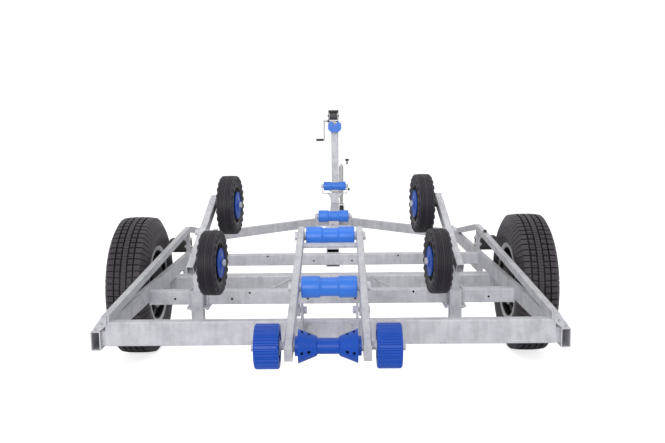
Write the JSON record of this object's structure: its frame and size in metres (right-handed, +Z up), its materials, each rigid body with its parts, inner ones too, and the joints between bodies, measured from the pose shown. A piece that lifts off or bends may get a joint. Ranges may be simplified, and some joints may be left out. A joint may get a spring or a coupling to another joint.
{
  "type": "boat trailer",
  "caption": "Single-axle keel-roller boat trailer: galvanised ladder frame, centre drawbar, tilting roller cradle at the stern, swivelling side wheels, winch post and jockey wheel.",
  "frame": {"origin": "on the ground, under the middle of the whole trailer's length and width", "axes": "+Y forward to the coupling, +Z up, +X to the right seen from behind"},
  "size_m": [2.052, 6.77, 1.235],
  "materials": {
    "galvanised": "hot-dip galvanised, mottled",
    "zinc": "bright zinc plated",
    "wheel_steel": "silver wheel paint",
    "tyre": "road tyre rubber",
    "side_tyre": "matt black rubber",
    "black_plastic": "moulded black",
    "blue_roller": "moulded blue polyurethane",
    "dark_blue_roller": "moulded deep blue polyurethane",
    "strap": "black webbing"
  },
  "bodies": {
    "root": {"rear_crossbeam": "galvanised", "middle_crossbeam": "galvanised", "front_crossbeam": "galvanised", "drawbar_tube": "galvanised", "axle_beam": "galvanised", "rocker_bracket": "galvanised", "roller_cradle_3": "galvanised", "roller_cradle_4": "galvanised", "winch_post": "galvanised", "bow_stop": "blue_roller", "winch_frame": "black_plastic", "jockey_clamp": "zinc", "coupling_head": "zinc", "side_beam_left": "galvanised", "drawbar_brace_left": "galvanised", "guard_rail_left": "galvanised", "lamp_socket_left": "galvanised", "step_left": "black_plastic", "trailing_arm_left": "galvanised", "side_post_left": "galvanised", "side_upright_left": "galvanised", "side_beam_right": "galvanised", "drawbar_brace_right": "galvanised", "guard_rail_right": "galvanised", "lamp_socket_right": "galvanised", "step_right": "black_plastic", "trailing_arm_right": "galvanised", "side_post_right": "galvanised", "side_upright_right": "galvanised"},
    "wheel_left": {"tyre_left": "tyre", "rim_left": "wheel_steel"},
    "wheel_right": {"tyre_right": "tyre", "rim_right": "wheel_steel"},
    "side_bar_left": {"side_bar_left": "galvanised"},
    "side_wheel_left_rear": {"side_tyre_left_rear": "side_tyre", "side_hub_left_rear": "black_plastic"},
    "side_wheel_left_front": {"side_tyre_left_front": "side_tyre", "side_hub_left_front": "black_plastic"},
    "side_bar_right": {"side_bar_right": "galvanised"},
    "side_wheel_right_rear": {"side_tyre_right_rear": "side_tyre", "side_hub_right_rear": "black_plastic"},
    "side_wheel_right_front": {"side_tyre_right_front": "side_tyre", "side_hub_right_front": "black_plastic"},
    "rocker": {"rocker_frame": "galvanised"},
    "stern_roller": {"stern_roller": "dark_blue_roller"},
    "keel_roller_1": {"keel_roller_1": "blue_roller"},
    "keel_roller_2": {"keel_roller_2": "blue_roller"},
    "guide_wheel_left": {"guide_wheel_left": "dark_blue_roller"},
    "guide_wheel_right": {"guide_wheel_right": "dark_blue_roller"},
    "keel_roller_3": {"keel_roller_3": "blue_roller"},
    "keel_roller_4": {"keel_roller_4": "blue_roller"},
    "winch_drum": {"winch_drum": "strap"},
    "winch_crank": {"winch_crank": "zinc"},
    "jockey_leg": {"jockey_leg": "zinc"},
    "jockey_fork": {"jockey_fork": "zinc"},
    "jockey_wheel": {"jockey_wheel": "side_tyre"}
  },
  "joints": [
    {"name": "wheel_spin_left", "type": "hinge", "parent": "root", "child": "wheel_left", "pos_m": [-0.929, -1.881, 0.328], "axis": [1, 0, 0], "continuous": true},
    {"name": "wheel_spin_right", "type": "hinge", "parent": "root", "child": "wheel_right", "pos_m": [0.929, -1.881, 0.328], "axis": [1, 0, 0], "continuous": true},
    {"name": "side_bar_swivel_left", "type": "hinge", "parent": "root", "child": "side_bar_left", "pos_m": [-0.571, -2.329, 0.645], "axis": [0.9976, -0.0698, 0], "range_deg": [-50, 12]},
    {"name": "side_wheel_spin_left_rear", "type": "hinge", "parent": "side_bar_left", "child": "side_wheel_left_rear", "pos_m": [-0.4713, -2.51603, 0.54829], "axis": [0.9976, -0.0698, 0], "continuous": true},
    {"name": "side_wheel_spin_left_front", "type": "hinge", "parent": "side_bar_left", "child": "side_wheel_left_front", "pos_m": [-0.44625, -2.15767, 0.74171], "axis": [0.9976, -0.0698, 0], "continuous": true},
    {"name": "side_bar_swivel_right", "type": "hinge", "parent": "root", "child": "side_bar_right", "pos_m": [0.527, -2.329, 0.645], "axis": [0.9976, 0.0698, 0], "range_deg": [-50, 12]},
    {"name": "side_wheel_spin_right_rear", "type": "hinge", "parent": "side_bar_right", "child": "side_wheel_right_rear", "pos_m": [0.4273, -2.51603, 0.54829], "axis": [0.9976, 0.0698, 0], "continuous": true},
    {"name": "side_wheel_spin_right_front", "type": "hinge", "parent": "side_bar_right", "child": "side_wheel_right_front", "pos_m": [0.40225, -2.15767, 0.74171], "axis": [0.9976, 0.0698, 0], "continuous": true},
    {"name": "rocker_tilt", "type": "hinge", "parent": "root", "child": "rocker", "pos_m": [0, -2.911, 0.451], "axis": [1, 0, 0], "range_deg": [-22, 0]},
    {"name": "stern_roller_spin", "type": "hinge", "parent": "rocker", "child": "stern_roller", "pos_m": [0, -3.317, 0.444], "axis": [1, 0, 0], "continuous": true},
    {"name": "keel_roller_1_spin", "type": "hinge", "parent": "rocker", "child": "keel_roller_1", "pos_m": [0, -2.94978, 0.54171], "axis": [1, 0, 0], "continuous": true},
    {"name": "keel_roller_2_spin", "type": "hinge", "parent": "rocker", "child": "keel_roller_2", "pos_m": [0, -2.5265, 0.65433], "axis": [1, 0, 0], "continuous": true},
    {"name": "guide_wheel_left_spin", "type": "hinge", "parent": "rocker", "child": "guide_wheel_left", "pos_m": [-0.1795, -3.317, 0.444], "axis": [1, 0, 0], "continuous": true},
    {"name": "guide_wheel_right_spin", "type": "hinge", "parent": "rocker", "child": "guide_wheel_right", "pos_m": [0.1795, -3.317, 0.444], "axis": [1, 0, 0], "continuous": true},
    {"name": "keel_roller_3_spin", "type": "hinge", "parent": "root", "child": "keel_roller_3", "pos_m": [0, -0.709, 0.512], "axis": [1, 0, 0], "continuous": true},
    {"name": "keel_roller_4_spin", "type": "hinge", "parent": "root", "child": "keel_roller_4", "pos_m": [0, 1.041, 0.562], "axis": [1, 0, 0], "continuous": true},
    {"name": "winch_drum_spin", "type": "hinge", "parent": "root", "child": "winch_drum", "pos_m": [0, 2.189, 1.18], "axis": [1, 0, 0], "continuous": true},
    {"name": "winch_crank_spin", "type": "hinge", "parent": "root", "child": "winch_crank", "pos_m": [0, 2.241, 1.128], "axis": [1, 0, 0], "continuous": true},
    {"name": "jockey_slide", "type": "slide", "parent": "root", "child": "jockey_leg", "axis": [0, 0, 1], "range_m": [-0.12, 0.085]},
    {"name": "jockey_swivel", "type": "hinge", "parent": "jockey_leg", "child": "jockey_fork", "pos_m": [0.064, 2.889, 0.15], "axis": [0, 0, 1], "continuous": true},
    {"name": "jockey_wheel_spin", "type": "hinge", "parent": "jockey_fork", "child": "jockey_wheel", "pos_m": [0.064, 2.855, 0.1], "axis": [1, 0, 0], "continuous": true}
  ],
  "couplings": [
    {"joint": "winch_drum_spin", "follows": "winch_crank_spin", "ratio": -0.2}
  ]
}
